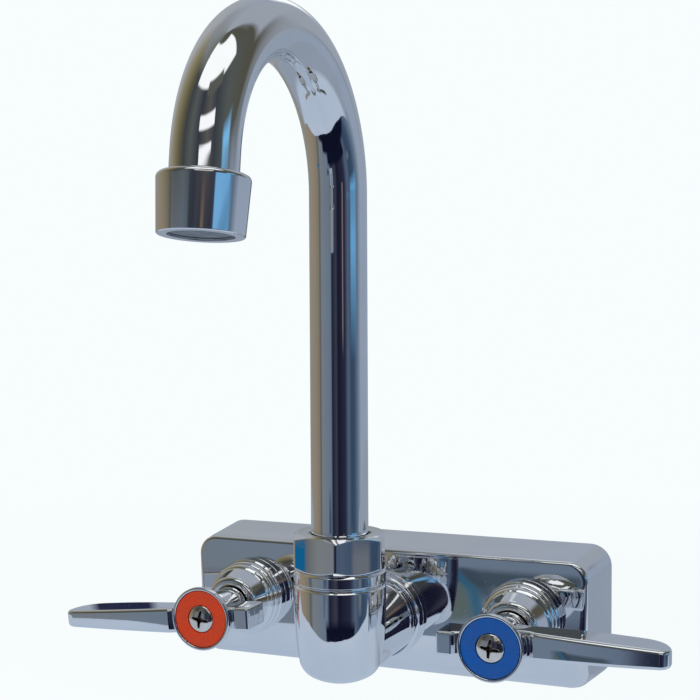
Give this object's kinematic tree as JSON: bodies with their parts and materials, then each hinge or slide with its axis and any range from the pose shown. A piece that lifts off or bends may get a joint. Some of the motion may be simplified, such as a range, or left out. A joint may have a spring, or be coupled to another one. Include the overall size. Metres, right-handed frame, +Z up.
{
  "type": "splash-mount gooseneck faucet",
  "caption": "Wall-mounted mixing faucet with a rounded rectangular body, lever handles, an angled outlet elbow and a swivelling gooseneck spout with aerator.",
  "frame": {"origin": "on the wall face, midway between the two valve axes", "axes": "+X along the wall to the right of someone facing the faucet, +Y into the wall, +Z up"},
  "size_m": [0.2113, 0.2164, 0.2199],
  "materials": {
    "polished_chrome": "polished chrome plate",
    "gasket_foam": "soft closed-cell foam",
    "zinc_steel": "zinc-plated steel",
    "plain_brass": "machined brass",
    "seal_rubber": "black seal rubber",
    "washer_plastic": "white low-friction plastic",
    "insert_plastic": "grey moulded plastic",
    "screen_steel": "fine stainless mesh",
    "screw_steel": "nickel-plated, slightly warm",
    "disc_ceramic": "lapped white alumina",
    "hot_index_enamel": "orange-red",
    "cold_index_enamel": "blue"
  },
  "bodies": {
    "faucet_body": {"valve_body": "polished_chrome", "wall_gasket": "gasket_foam", "shank_washers": "zinc_steel", "shank_locknuts": "plain_brass", "elbow_collar": "polished_chrome", "elbow_seal": "seal_rubber", "spout_elbow": "polished_chrome", "spout_nut": "polished_chrome", "hot_inlet_shank": "plain_brass", "hot_bonnet": "polished_chrome", "hot_cartridge_shell": "plain_brass", "hot_fixed_disc": "disc_ceramic", "hot_seat_seal": "seal_rubber", "cold_inlet_shank": "plain_brass", "cold_bonnet": "polished_chrome", "cold_cartridge_shell": "plain_brass", "cold_fixed_disc": "disc_ceramic", "cold_seat_seal": "seal_rubber"},
    "spout": {"gooseneck_tube": "polished_chrome", "spout_ferrule": "plain_brass", "spout_o_rings": "seal_rubber", "spout_thrust_washer": "washer_plastic", "aerator_housing": "polished_chrome", "aerator_washer": "seal_rubber", "aerator_insert": "insert_plastic", "aerator_screen": "screen_steel"},
    "hot_handle": {"hot_lever_handle": "polished_chrome", "hot_index_ring": "hot_index_enamel", "hot_handle_screw": "screw_steel", "hot_valve_stem": "plain_brass", "hot_stem_o_ring": "seal_rubber", "hot_stem_clip": "zinc_steel", "hot_moving_disc": "disc_ceramic"},
    "cold_handle": {"cold_lever_handle": "polished_chrome", "cold_index_ring": "cold_index_enamel", "cold_handle_screw": "screw_steel", "cold_valve_stem": "plain_brass", "cold_stem_o_ring": "seal_rubber", "cold_stem_clip": "zinc_steel", "cold_moving_disc": "disc_ceramic"}
  },
  "joints": [
    {"name": "spout_swivel", "type": "hinge", "parent": "faucet_body", "child": "spout", "pos_m": [0, -0.0675, 0.0275], "axis": [0, 0, 1], "range_deg": [-120, 120]},
    {"name": "hot_handle_turn", "type": "hinge", "parent": "faucet_body", "child": "hot_handle", "pos_m": [-0.0508, -0.0691, 0], "axis": [0, -1, 0], "range_deg": [0, 90]},
    {"name": "cold_handle_turn", "type": "hinge", "parent": "faucet_body", "child": "cold_handle", "pos_m": [0.0508, -0.0691, 0], "axis": [0, 1, 0], "range_deg": [0, 90]}
  ]
}
